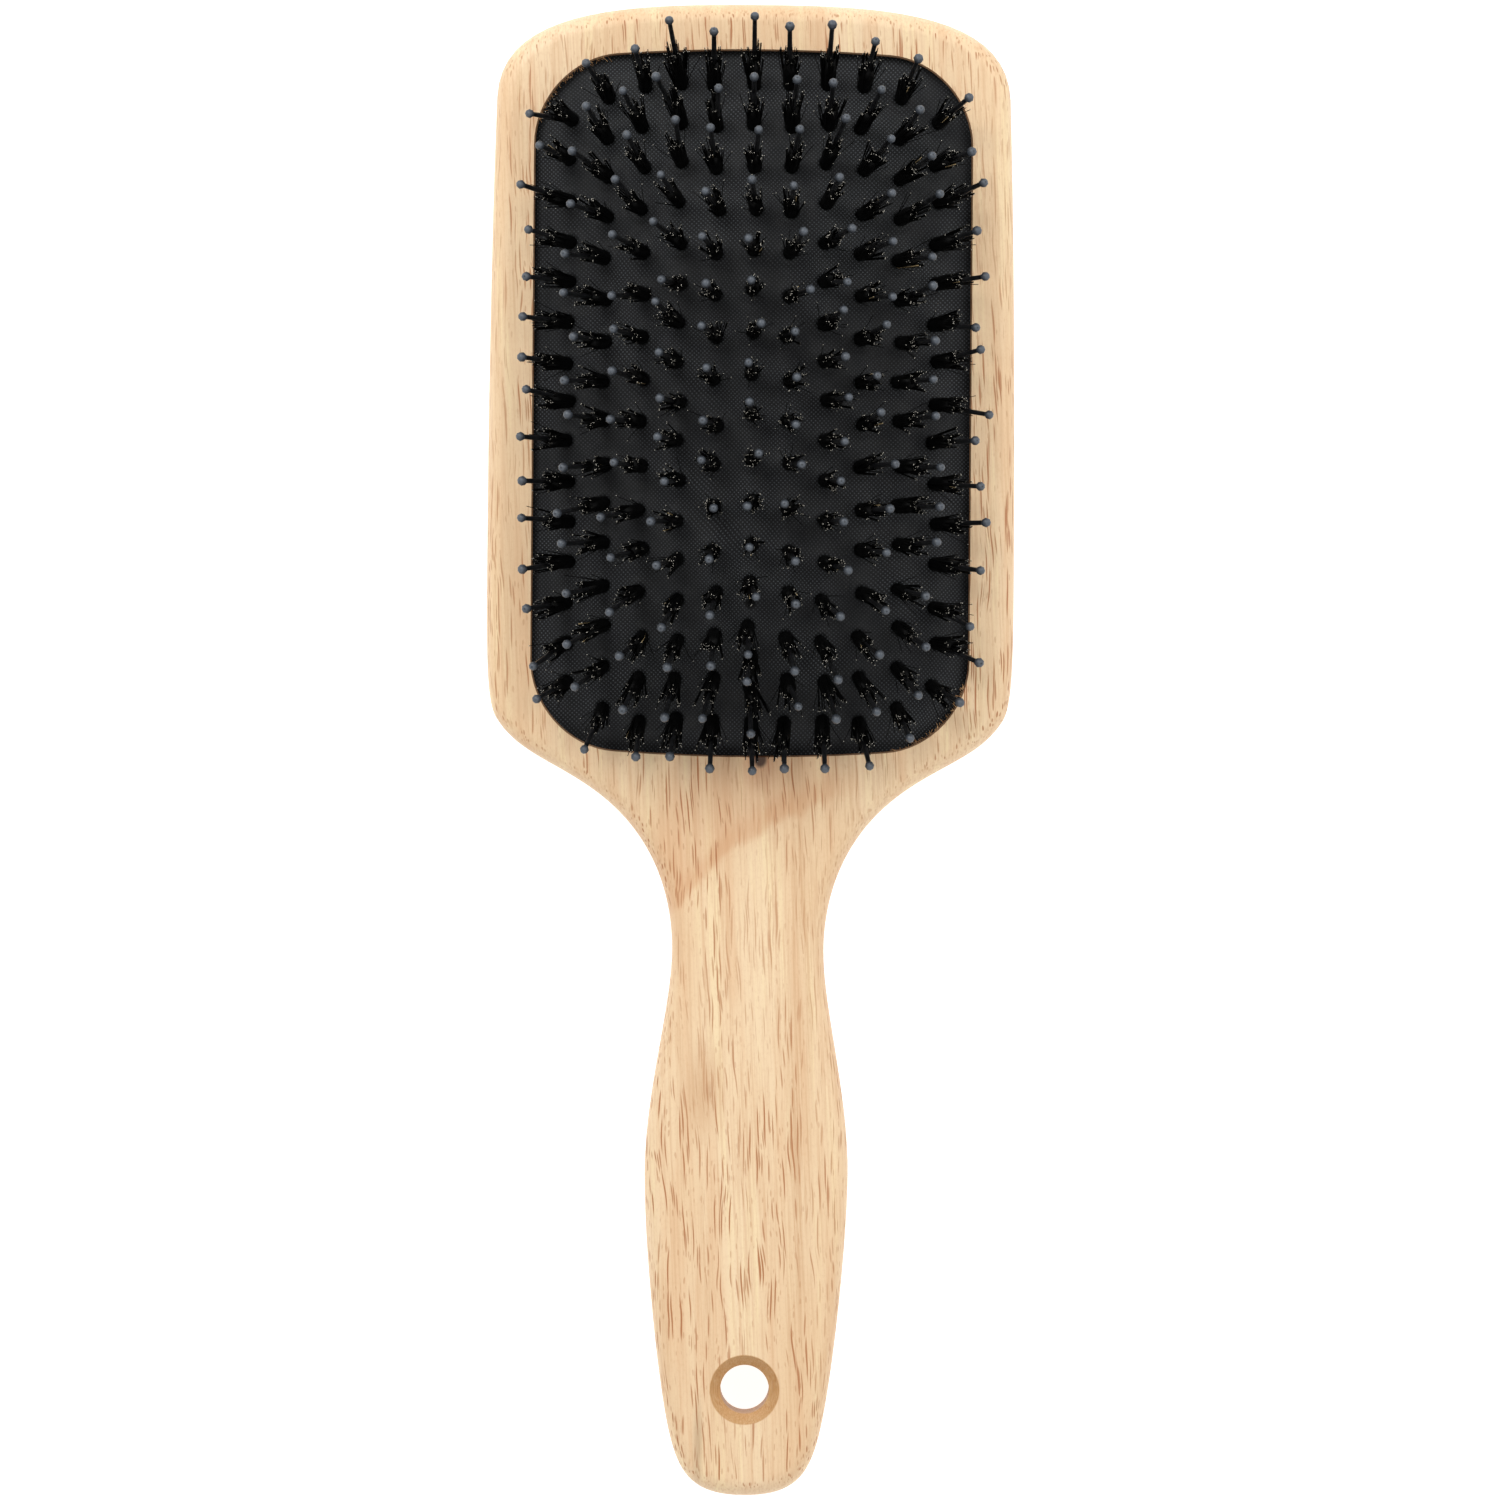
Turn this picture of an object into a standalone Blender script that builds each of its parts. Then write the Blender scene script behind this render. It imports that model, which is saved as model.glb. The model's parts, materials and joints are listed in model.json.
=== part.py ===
"""Paddle hairbrush: a wooden body, an air-cushion pad and rows of ball-tipped quills in bristle tufts.

All lengths are metres. +Z points out of the bristle side, +Y towards the head end. The flat back lies on z = 0
and the plan view is centred on the origin. The pad belongs to the brush body. The quills and bristles are
grouped ring by ring, because the pad sinks most at its centre and least at its edge.
"""

import math

import bmesh
import bpy
from mathutils import Matrix, Vector
from mathutils.geometry import interpolate_bezier

# Overall sizes
LENGTH = 0.245
HEAD_WIDTH = 0.0866
HANDLE_WIDTH = 0.0334
NECK_WIDTH = 0.0249
THICKNESS = 0.014
EDGE_ROUND = 0.003

# Pocket in the head that holds the pad
RIM_WIDTH = 0.0075
END_RIM_WIDTH = 0.00775
PAD_LENGTH = 0.1157
PAD_CORNER = 0.0135
PAD_BOW = 0.0021
POCKET_DEPTH = 0.0085
GROOVE_DEPTH = 0.002
GROOVE_TOP = 0.0014

# Rubber pad
RUBBER = 0.0014
DOME = 0.009
FIT_GAP = 0.0003
VENT_DIAMETER = 0.0018
VENT_Y = -0.033

# Hanging hole near the handle end
HANG_BORE = 0.008
HANG_CHAMFER = 0.00165
HANG_INSET = 0.0175

# Tufts: number in each lengthwise column, left to right, and how far the outer ones stay from the pocket's edge
COLUMN_COUNTS = (15, 16, 16, 17, 16, 17, 16, 17, 16, 16, 15)
SIDE_MARGIN = 0.0059
END_MARGIN = 0.0059
END_DROP = (0.006, 0.002)
VENT_CLEAR = 0.0035
LEAN_FACTOR = 1.15
FAN = 0.12
SIDES = 4

# Bristle tuft round each quill
TUFT_LENGTH = 0.0115
TUFT_ROOT_RADIUS = 0.00138
TUFT_TIP_RADIUS = 0.0016
TUFT_DEPTH = 0.0018
BAND_HEIGHT = 0.0006

# Quill
QUILL_LENGTH = 0.0176
QUILL_RADIUS = 0.0005
QUILL_TIP_RADIUS = 0.00032
BALL_RADIUS = 0.00082
QUILL_DEPTH = 0.0034
STRIP_HEIGHT = 0.0008

PAD_HALF_X = HEAD_WIDTH / 2 - RIM_WIDTH
PAD_HALF_Y = PAD_LENGTH / 2
PAD_CENTRE_Y = LENGTH / 2 - END_RIM_WIDTH - PAD_HALF_Y
COLUMN_PITCH = (PAD_HALF_X - SIDE_MARGIN) / (len(COLUMN_COUNTS) // 2)
BODY_TOP = THICKNESS
RIM_TOP = BODY_TOP - GROOVE_TOP - FIT_GAP
GROOVE_BOTTOM = RIM_TOP - RUBBER - FIT_GAP
# A regular polygon's flats are nearer its centre than its corners
FLAT = math.cos(math.pi / SIDES)
BORE_RADIUS = (QUILL_RADIUS * FLAT + FIT_GAP) / FLAT
HOLE_RADIUS = (TUFT_ROOT_RADIUS * FLAT + FIT_GAP) / FLAT
# Long enough for a cutter to leave the material on both sides
OVERCUT = 0.002


def clear_scene():
    for old in list(bpy.data.objects):
        bpy.data.objects.remove(old, do_unlink=True)


def new_collection(name):
    made = bpy.data.collections.new(name)
    bpy.context.scene.collection.children.link(made)
    return made


def new_material(name, colour, roughness, metallic=0.0):
    made = bpy.data.materials.new(name)
    made.use_nodes = True
    shader = made.node_tree.nodes["Principled BSDF"]
    shader.inputs["Base Color"].default_value = (*colour, 1.0)
    shader.inputs["Roughness"].default_value = roughness
    shader.inputs["Metallic"].default_value = metallic
    return made


def object_from(bm, name, collection, material=None, smooth=False):
    bmesh.ops.recalc_face_normals(bm, faces=bm.faces[:])
    mesh = bpy.data.meshes.new(name)
    bm.to_mesh(mesh)
    bm.free()
    made = bpy.data.objects.new(name, mesh)
    collection.objects.link(made)
    if material:
        mesh.materials.append(material)
    mesh.polygons.foreach_set("use_smooth", [smooth] * len(mesh.polygons))
    return made


def as_cutter(cutter):
    cutter.hide_render = True
    cutter.display_type = "WIRE"
    return cutter


def combine(target, other, operation):
    """Boolean one object with another, and keep the other out of the render."""
    as_cutter(other)
    step = target.modifiers.new(other.name, "BOOLEAN")
    step.operation = operation
    step.object = other
    step.solver = "EXACT"
    graph = bpy.context.evaluated_depsgraph_get()
    mesh = bpy.data.meshes.new_from_object(target.evaluated_get(graph))
    target.modifiers.remove(step)
    old = target.data
    target.data = mesh
    bpy.data.meshes.remove(old)
    mesh.name = target.name


def prism(outline, low, high):
    """A closed solid between two heights over a plan outline."""
    bm = bmesh.new()
    base = bm.faces.new([bm.verts.new((x, y, low)) for x, y in outline])
    grown = bmesh.ops.extrude_face_region(bm, geom=[base])
    top = [item for item in grown["geom"] if isinstance(item, bmesh.types.BMVert)]
    bmesh.ops.translate(bm, verts=top, vec=(0, 0, high - low))
    return bm


def lathe(profile, sides):
    """A closed solid turned round Z from (radius, height) pairs; pairs at radius 0 become poles."""
    bm = bmesh.new()
    verts = [bm.verts.new((radius, 0, height)) for radius, height in profile]
    edges = [bm.edges.new(pair) for pair in zip(verts, verts[1:])]
    if profile[0][0] > 0:
        edges.append(bm.edges.new((verts[-1], verts[0])))
    bmesh.ops.spin(
        bm,
        geom=verts + edges,
        cent=(0, 0, 0),
        axis=(0, 0, 1),
        angle=math.tau,
        steps=sides,
        use_merge=True,
    )
    bmesh.ops.remove_doubles(bm, verts=bm.verts[:], dist=0.00001)
    bmesh.ops.rotate(bm, verts=bm.verts[:], cent=(0, 0, 0), matrix=Matrix.Rotation(math.pi / sides, 3, "Z"))
    bmesh.ops.recalc_face_normals(bm, faces=bm.faces[:])
    return bm


# ---------------------------------------------------------------- wooden body

# One side of the outline from the head end to the handle end: each stop is a point, the direction the edge runs
# there, and how far its curve handles reach before and after it. The head's stops are measured from the pocket's
# lower edge, and the grip's widest point lies between the neck and the handle's end.
HEAD = HEAD_WIDTH / 2
NECK = NECK_WIDTH / 2
GRIP = HANDLE_WIDTH / 2
POCKET_END = PAD_CENTRE_Y - PAD_HALF_Y
NECK_Y = POCKET_END - 0.032
HANDLE_RUN = NECK_Y + LENGTH / 2
GRIP_Y = NECK_Y - HANDLE_RUN * 0.407
GRIP_REACH = HANDLE_RUN * 0.168
OUTLINE_STOPS = (
    ((0, LENGTH / 2), (1, 0), 0, 0.0198),
    ((HEAD - 0.0011, LENGTH / 2 - 0.0154), (0.035, -1), 0.0148, 0.022),
    ((HEAD, POCKET_END + 0.031), (0, -1), 0.0246, 0.014),
    ((HEAD - 0.0016, POCKET_END + 0.0061), (-0.512, -0.859), 0.0031, 0.0074),
    ((NECK + 0.0108, POCKET_END - 0.0075), (-0.765, -0.644), 0.0096, 0.0088),
    ((NECK, NECK_Y), (0, -1), 0.0104, GRIP_REACH * 0.62),
    ((GRIP, GRIP_Y), (0, -1), GRIP_REACH * 0.88, GRIP_REACH * 0.76),
    ((GRIP - 0.0042, -LENGTH / 2 + 0.0109), (-0.219, -0.976), GRIP_REACH * 0.6, 0.0075),
    ((0, -LENGTH / 2), (-1, 0), 0.0086, 0),
)
OUTLINE_STEPS = 7


def body_outline():
    side = []
    for here, there in zip(OUTLINE_STOPS, OUTLINE_STOPS[1:]):
        start = Vector((*here[0], 0))
        end = Vector((*there[0], 0))
        first_handle = start + Vector((*here[1], 0)).normalized() * here[3]
        second_handle = end - Vector((*there[1], 0)).normalized() * there[2]
        curve = interpolate_bezier(start, first_handle, second_handle, end, OUTLINE_STEPS)
        side += [(point.x, point.y) for point in curve[:-1]]
    side.append((0, -LENGTH / 2))
    other_side = [(-x, y) for x, y in reversed(side[1:-1])]
    return side + other_side


def pad_outline(grow):
    """The pocket's plan: a rounded rectangle whose two ends bow slightly outwards."""
    half_x = PAD_HALF_X + grow
    half_y = PAD_HALF_Y + grow - PAD_BOW
    corner = PAD_CORNER + grow
    quarter = [(half_x, PAD_HALF_Y - PAD_HALF_X)]
    for step in range(5):
        turn = math.pi / 2 * step / 4
        x = half_x - corner + corner * math.cos(turn)
        y = half_y - corner + corner * math.sin(turn)
        quarter.append((x, y + PAD_BOW * (1 - (x / half_x) ** 2)))
    x = (half_x - corner) / 2
    quarter.append((x, half_y + PAD_BOW * (1 - (x / half_x) ** 2)))
    upper = quarter + [(0, half_y + PAD_BOW)] + [(-px, py) for px, py in reversed(quarter)]
    return upper + [(-px, -py) for px, py in upper]


def placed(outline):
    return [(x, y + PAD_CENTRE_Y) for x, y in outline]


def make_body(collection, cutters, material):
    body = object_from(prism(body_outline(), 0, BODY_TOP), "wooden_body", collection, material, smooth=True)
    rounding = body.modifiers.new("edge_round", "BEVEL")
    rounding.width = EDGE_ROUND
    rounding.segments = 3
    rounding.limit_method = "ANGLE"
    rounding.angle_limit = math.radians(60)
    graph = bpy.context.evaluated_depsgraph_get()
    rounded = bpy.data.meshes.new_from_object(body.evaluated_get(graph))
    body.modifiers.clear()
    body.data = rounded

    pocket = prism(placed(pad_outline(0)), BODY_TOP - POCKET_DEPTH, BODY_TOP + OVERCUT)
    combine(body, object_from(pocket, "pocket_cutter", cutters), "DIFFERENCE")
    groove = prism(placed(pad_outline(GROOVE_DEPTH)), GROOVE_BOTTOM, BODY_TOP - GROOVE_TOP)
    combine(body, object_from(groove, "groove_cutter", cutters), "DIFFERENCE")

    bore = HANG_BORE / 2
    flare = bore + HANG_CHAMFER + OVERCUT
    profile = (
        (0, BODY_TOP + OVERCUT),
        (flare, BODY_TOP + OVERCUT),
        (bore, BODY_TOP - HANG_CHAMFER),
        (bore, HANG_CHAMFER),
        (flare, -OVERCUT),
        (0, -OVERCUT),
    )
    hang = lathe(profile, 24)
    bmesh.ops.translate(hang, verts=hang.verts[:], vec=(0, -LENGTH / 2 + HANG_INSET, 0))
    combine(body, object_from(hang, "hang_hole_cutter", cutters), "DIFFERENCE")
    return body


# ----------------------------------------------------------------- rubber pad


def spine_y(y):
    """The dome has a straight ridge along the pad: the part of y beyond that ridge is what slopes down."""
    ridge = PAD_HALF_Y - PAD_HALF_X
    return max(0.0, abs(y) - ridge)


def dome_share(x, y):
    across = min(1.0, abs(x) / PAD_HALF_X)
    along = min(1.0, spine_y(y) / PAD_HALF_X)
    return (1 - across**2) * (1 - along**2)


def dome_height(x, y):
    return RIM_TOP + DOME * dome_share(x, y)


def tuft_lean(x, y):
    """The direction a tuft stands in: a little further out than the surface, and fanned along the pad."""
    step = 0.0001
    slope_x = (dome_height(x + step, y) - dome_height(x - step, y)) / (2 * step)
    slope_y = (dome_height(x, y + step) - dome_height(x, y - step)) / (2 * step)
    fan = FAN * y / PAD_HALF_Y
    return Vector((-slope_x * LEAN_FACTOR, fan - slope_y * LEAN_FACTOR, 1)).normalized()


DOME_RINGS = (0.12, 0.36, 0.58, 0.78, 0.92, 1.0)


def pad_skin(bm, drop):
    """One side of the pad: rings of points shrinking from the rim to the ridge."""
    ridge = PAD_HALF_Y - PAD_HALF_X
    lip = GROOVE_DEPTH - FIT_GAP
    rings = []
    edge = pad_outline(0)
    for share in DOME_RINGS:
        ring = []
        for x, y in edge:
            along = max(-ridge, min(ridge, y))
            px = x * share
            py = along + (y - along) * share
            height = RIM_TOP if share == 1.0 else dome_height(px, py)
            ring.append(bm.verts.new((px, py + PAD_CENTRE_Y, height - drop)))
        rings.append(ring)
    outer = [bm.verts.new((x, y + PAD_CENTRE_Y, RIM_TOP - drop)) for x, y in pad_outline(lip)]
    rings.append(outer)
    bm.faces.new(rings[0])
    for inner, outer in zip(rings, rings[1:]):
        for index in range(len(inner)):
            after = (index + 1) % len(inner)
            bm.faces.new((inner[index], outer[index], outer[after], inner[after]))
    return rings[-1]


def make_pad(collection, cutters, material, tufts):
    bm = bmesh.new()
    top_rim = pad_skin(bm, 0)
    bottom_rim = pad_skin(bm, RUBBER)
    for index in range(len(top_rim)):
        after = (index + 1) % len(top_rim)
        bm.faces.new((top_rim[index], bottom_rim[index], bottom_rim[after], top_rim[after]))
    bmesh.ops.triangulate(bm, faces=bm.faces[:])
    pad = object_from(bm, "rubber_cushion", collection, material, smooth=True)

    reach = RUBBER + OVERCUT
    holes = bmesh.new()
    for tuft in tufts:
        add_copy(holes, lathe(((0, -reach), (HOLE_RADIUS, -reach), (HOLE_RADIUS, OVERCUT), (0, OVERCUT)), SIDES), tuft)
    vent = lathe(((0, -reach), (VENT_DIAMETER / 2, -reach), (VENT_DIAMETER / 2, OVERCUT), (0, OVERCUT)), 8)
    place = Matrix.Translation((0, PAD_CENTRE_Y + VENT_Y, dome_height(0, VENT_Y)))
    add_copy(holes, vent, place)
    combine(pad, object_from(holes, "tuft_hole_cutter", cutters), "DIFFERENCE")
    return pad


# --------------------------------------------------------------------- tufts


def spread(count, low, high):
    return [low + (high - low) * step / (count - 1) for step in range(count)]


def column_rows(column):
    """Positions along the pad of one column's tufts, from the handle end to the head end."""
    from_side = min(column, len(COLUMN_COUNTS) - 1 - column)
    drop = END_DROP[from_side] if from_side < len(END_DROP) else 0.0
    high = PAD_HALF_Y - END_MARGIN - drop
    count = COLUMN_COUNTS[column]
    if column != len(COLUMN_COUNTS) // 2:
        return spread(count, -high, high)
    # The middle column steps aside for the vent hole
    below = round(count * (VENT_Y + high) / (2 * high)) + 1
    lower = spread(below, -high, VENT_Y - VENT_CLEAR)
    return lower + spread(count - below, VENT_Y + VENT_CLEAR, high)


def tuft_place(x, y):
    """Matrix that stands a tuft on the pad: origin at the rubber's surface, Z along the tuft."""
    lean = tuft_lean(x, y)
    turn = Vector((0, 0, 1)).rotation_difference(lean)
    root = Vector((x, y + PAD_CENTRE_Y, dome_height(x, y)))
    return Matrix.Translation(root) @ turn.to_matrix().to_4x4()


def tuft_runs():
    """Tufts grouped by ring, then by the ring's four sides; the middle ring is a single run."""
    columns = len(COLUMN_COUNTS)
    middle = columns // 2
    runs = {}
    for column in range(columns):
        x = (column - middle) * COLUMN_PITCH
        rows = column_rows(column)
        from_side = min(column, columns - 1 - column)
        for row, y in enumerate(rows):
            from_end = min(row, len(rows) - 1 - row)
            ring = min(from_side, from_end)
            if ring == middle:
                key = "centre"
            elif from_end == ring:
                key = f"{ring + 1}_{'tail' if row == from_end else 'head'}"
            else:
                key = f"{ring + 1}_{'left' if column < middle else 'right'}"
            runs.setdefault(key, []).append(tuft_place(x, y))
    return runs


def add_copy(bm, template, place):
    """Add a template solid to a growing mesh at a place, free the template and return the new faces."""
    bmesh.ops.transform(template, matrix=place, verts=template.verts[:])
    mesh = bpy.data.meshes.new("copy")
    template.to_mesh(mesh)
    template.free()
    first = len(bm.faces)
    bm.from_mesh(mesh)
    bpy.data.meshes.remove(mesh)
    bm.faces.ensure_lookup_table()
    return bm.faces[first:]


def quill_template():
    base = -(RUBBER + QUILL_DEPTH)
    centre = QUILL_LENGTH - BALL_RADIUS
    shoulder = BALL_RADIUS * math.cos(math.radians(28))
    rise = BALL_RADIUS * math.sin(math.radians(28))
    profile = (
        (0, base),
        (QUILL_RADIUS, base),
        (QUILL_RADIUS, base + STRIP_HEIGHT),
        (QUILL_TIP_RADIUS, centre - BALL_RADIUS * 0.9),
        (shoulder, centre - rise),
        (shoulder, centre + rise),
        (0, centre + BALL_RADIUS),
    )
    return lathe(profile, SIDES)


def tuft_template():
    base = -(RUBBER + TUFT_DEPTH)
    profile = (
        (BORE_RADIUS, base),
        (TUFT_ROOT_RADIUS, base),
        (TUFT_ROOT_RADIUS, base + BAND_HEIGHT),
        (TUFT_TIP_RADIUS, TUFT_LENGTH),
        (BORE_RADIUS, TUFT_LENGTH),
    )
    return lathe(profile, SIDES)


def footing(faces, height):
    """The outward side faces of a copy's foot, which is as tall as the band that joins it to its neighbours."""
    sides = []
    for face in faces:
        upright = [edge for edge in face.edges if abs(edge.calc_length() - height) < height / 100]
        if len(face.verts) == 4 and len(upright) == 2:
            sides.append(face)
    return sides


def join_neighbours(bm, feet):
    """Bridge each foot to the next one, across the pair of side faces nearest each other."""
    for here, there in zip(feet, feet[1:]):
        pair = min(
            ((a, b) for a in here for b in there if a.is_valid and b.is_valid),
            key=lambda both: (both[0].calc_center_median() - both[1].calc_center_median()).length,
        )
        edges = list(pair[0].edges) + list(pair[1].edges)
        for face in pair:
            bm.faces.remove(face)
        bmesh.ops.bridge_loops(bm, edges=edges)


def make_run(name, places, template, foot_height, collection, material):
    bm = bmesh.new()
    copies = [add_copy(bm, template(), place) for place in places]
    join_neighbours(bm, [footing(faces, foot_height) for faces in copies])
    return object_from(bm, name, collection, material, smooth=True)


def make_tufts(runs, collection, nylon, bristle):
    slides = {}
    for key, places in runs.items():
        ring = key.split("_")[0]
        if ring not in slides:
            slide = bpy.data.objects.new(f"slide_{ring}", None)
            slide.location = (0, PAD_CENTRE_Y, RIM_TOP)
            collection.objects.link(slide)
            slides[ring] = slide
        quills = make_run(f"quills_{key}", places, quill_template, STRIP_HEIGHT, collection, nylon)
        tufts = make_run(f"bristles_{key}", places, tuft_template, BAND_HEIGHT, collection, bristle)
        for rider in (quills, tufts):
            rider.parent = slides[ring]
            rider.matrix_parent_inverse = Matrix.Translation(slides[ring].location).inverted()


def main():
    clear_scene()
    brush = new_collection("paddle_hairbrush")
    cutters = new_collection("cutters")
    wood = new_material("Wood", (0.79, 0.60, 0.40), 0.5)
    rubber = new_material("Rubber", (0.022, 0.023, 0.025), 0.8)
    nylon = new_material("Nylon", (0.055, 0.06, 0.07), 0.35)
    bristle = new_material("Bristle", (0.010, 0.009, 0.009), 0.55)
    runs = tuft_runs()
    make_body(brush, cutters, wood)
    make_pad(brush, cutters, rubber, [place for places in runs.values() for place in places])
    make_tufts(runs, brush, nylon, bristle)


main()
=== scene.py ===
# %% [markdown]
# # Paddle hairbrush
# This script dresses a imported CAD model of a wooden paddle hairbrush so that it can be looked at closely.
# The CAD model stays underneath as the fixed frame. Every piece made here rides on one of its bodies, so the
# tufts and quills still move when the pad's bodies move; the cushion skin rides on the brush body and does
# not sink.

import json
import math
import random

import bmesh
import bpy
from mathutils import Matrix, Vector
from mathutils.geometry import interpolate_bezier

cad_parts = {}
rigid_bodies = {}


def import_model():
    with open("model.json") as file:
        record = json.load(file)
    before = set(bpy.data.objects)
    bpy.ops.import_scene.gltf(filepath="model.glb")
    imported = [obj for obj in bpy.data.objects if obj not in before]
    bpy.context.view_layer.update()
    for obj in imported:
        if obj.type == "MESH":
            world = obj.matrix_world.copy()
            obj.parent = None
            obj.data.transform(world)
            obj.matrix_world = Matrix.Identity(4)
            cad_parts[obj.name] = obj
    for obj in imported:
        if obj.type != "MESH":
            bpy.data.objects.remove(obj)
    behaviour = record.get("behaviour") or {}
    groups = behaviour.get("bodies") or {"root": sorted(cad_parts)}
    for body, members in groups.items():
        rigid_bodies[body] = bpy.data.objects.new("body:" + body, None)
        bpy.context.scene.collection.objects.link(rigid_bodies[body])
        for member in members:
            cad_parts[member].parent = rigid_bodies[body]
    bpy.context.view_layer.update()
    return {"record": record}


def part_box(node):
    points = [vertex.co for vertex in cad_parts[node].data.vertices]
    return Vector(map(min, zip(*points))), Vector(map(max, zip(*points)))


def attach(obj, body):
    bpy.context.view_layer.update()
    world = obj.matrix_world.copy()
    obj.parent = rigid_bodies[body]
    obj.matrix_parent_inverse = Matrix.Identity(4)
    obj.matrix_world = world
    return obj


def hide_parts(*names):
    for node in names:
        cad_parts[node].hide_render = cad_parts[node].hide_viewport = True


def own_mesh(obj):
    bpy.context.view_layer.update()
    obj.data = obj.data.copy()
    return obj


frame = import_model()
MM = 0.001
# Points closer than this are the same point
SAME_PLACE = 1e-6

# %% [markdown]
# ## Sizes read from the frame
# The wood, the pad and the tufts have to land where the CAD has them, so the outer sizes are worked out
# from the CAD boxes. What a box can't tell (the pattern of the tufts, corners, margins and lengths) is
# written again here.

# %%
wood_low, wood_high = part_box("wooden_body")
pad_low, pad_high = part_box("rubber_cushion")

LIP = 1.7 * MM
RUBBER = 1.4 * MM
PAD_HALF_X = (pad_high.x - pad_low.x) / 2 - LIP
PAD_HALF_Y = (pad_high.y - pad_low.y) / 2 - LIP
PAD_Y = (pad_high.y + pad_low.y) / 2
RIM_TOP = pad_low.z + RUBBER
DOME = pad_high.z - RIM_TOP
PAD_CORNER = 13.5 * MM
PAD_BOW = 2.1 * MM
FACE = wood_high.z
HALF_LENGTH = wood_high.y
HALF_HEAD = wood_high.x
RIDGE = PAD_HALF_Y - PAD_HALF_X

# Tufts in each lengthwise column, left to right
COLUMN_COUNTS = (15, 16, 16, 17, 16, 17, 16, 17, 16, 16, 15)
SIDE_MARGIN = 5.9 * MM
COLUMN_PITCH = (PAD_HALF_X - SIDE_MARGIN) / (len(COLUMN_COUNTS) // 2)
END_MARGIN = 5.9 * MM
# How much further in the outermost column ends, then the one next to it
END_DROP = (6.0 * MM, 2.0 * MM)
VENT_Y = -33 * MM
VENT_CLEAR = 3.5 * MM
# Tufts lean this many times the dome's own slope, and fan out a little more towards the two ends
LEAN_FACTOR = 1.15
FAN = 0.12
TUFT_LENGTH = 11.5 * MM
QUILL_LENGTH = 17.6 * MM
BALL_RADIUS = 0.79 * MM
print("pad half sizes", round(PAD_HALF_X, 4), round(PAD_HALF_Y, 4))
print("rim", round(RIM_TOP, 4), "dome", round(DOME, 4))

# %% [markdown]
# ## Small helpers
# Materials are node graphs. `wire` adds a node and either sets or links each named input, which keeps the
# graphs below short enough to read. Colours are given as the everyday 0 to 255 values and turned linear.
# Patterns are laid out in millimetres of the brush's own coordinates.


# %%
def tint(red, green, blue):
    def linear(value):
        value /= 255
        return value / 12.92 if value <= 0.04045 else ((value + 0.055) / 1.055) ** 2.4

    return (linear(red), linear(green), linear(blue), 1.0)


def feed(tree, node, **inputs):
    """Sets or links inputs; a keyword is an input's name (underscores for spaces) or i0, i1... by number."""
    for key, value in inputs.items():
        by_number = key[0] == "i" and key[1:].isdigit()
        socket = node.inputs[int(key[1:]) if by_number else key.replace("_", " ")]
        if isinstance(value, bpy.types.NodeSocket):
            tree.links.new(value, socket)
        else:
            socket.default_value = value


def wire(tree, kind, settings=None, **inputs):
    """Adds a node with some settings and feeds its inputs."""
    node = tree.nodes.new(kind)
    for key, value in (settings or {}).items():
        setattr(node, key, value)
    feed(tree, node, **inputs)
    return node


def maths(tree, operation, a, b=0.0):
    return wire(tree, "ShaderNodeMath", {"operation": operation}, i0=a, i1=b).outputs[0]


def times(tree, a, b):
    return maths(tree, "MULTIPLY", a, b)


def plus(tree, a, b):
    return maths(tree, "ADD", a, b)


def ramp(tree, value, low, high, start=0.0, end=1.0):
    """Smoothly carries a value from low..high to start..end."""
    settings = {"interpolation_type": "SMOOTHSTEP"}
    return wire(tree, "ShaderNodeMapRange", settings, i0=value, i1=low, i2=high, i3=start, i4=end).outputs[0]


def mix(tree, factor, a, b):
    """Blends from colour a to colour b."""
    return wire(tree, "ShaderNodeMix", {"data_type": "RGBA"}, i0=factor, i6=a, i7=b).outputs[2]


def noise(tree, vector, scale, detail=2.0, roughness=0.5):
    return wire(
        tree, "ShaderNodeTexNoise", None, Vector=vector, Scale=scale, Detail=detail, Roughness=roughness
    ).outputs[0]


def stretch(tree, vector, x, y, z):
    """Coordinates in millimetres, multiplied along each axis."""
    node = wire(tree, "ShaderNodeVectorMath", {"operation": "MULTIPLY"}, i0=vector)
    node.inputs[1].default_value = (x, y, z)
    return node.outputs[0]


def millimetres(tree, place):
    return stretch(tree, place, 1 / MM, 1 / MM, 1 / MM)


def new_material(name):
    """A material with its node tree, its Principled node, and the object's own coordinates in millimetres."""
    made = bpy.data.materials.new(name)
    made.use_nodes = True
    tree = made.node_tree
    mm = millimetres(tree, wire(tree, "ShaderNodeTexCoord").outputs["Object"])
    return made, tree, tree.nodes["Principled BSDF"], mm


def bumped(tree, height, distance, strength=1.0):
    return wire(tree, "ShaderNodeBump", None, Strength=strength, Distance=distance, Height=height).outputs[0]


def turned(profile, sides):
    """A closed shape turned round Z, from (radius, height) pairs whose first and last radius are 0."""
    bm = bmesh.new()
    spots = [bm.verts.new((radius, 0, height)) for radius, height in profile]
    lines = [bm.edges.new(pair) for pair in zip(spots, spots[1:])]
    bmesh.ops.spin(
        bm, geom=spots + lines, cent=(0, 0, 0), axis=(0, 0, 1), angle=math.tau, steps=sides, use_merge=True
    )
    bmesh.ops.remove_doubles(bm, verts=bm.verts[:], dist=SAME_PLACE)
    bmesh.ops.recalc_face_normals(bm, faces=bm.faces[:])
    return bm


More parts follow.
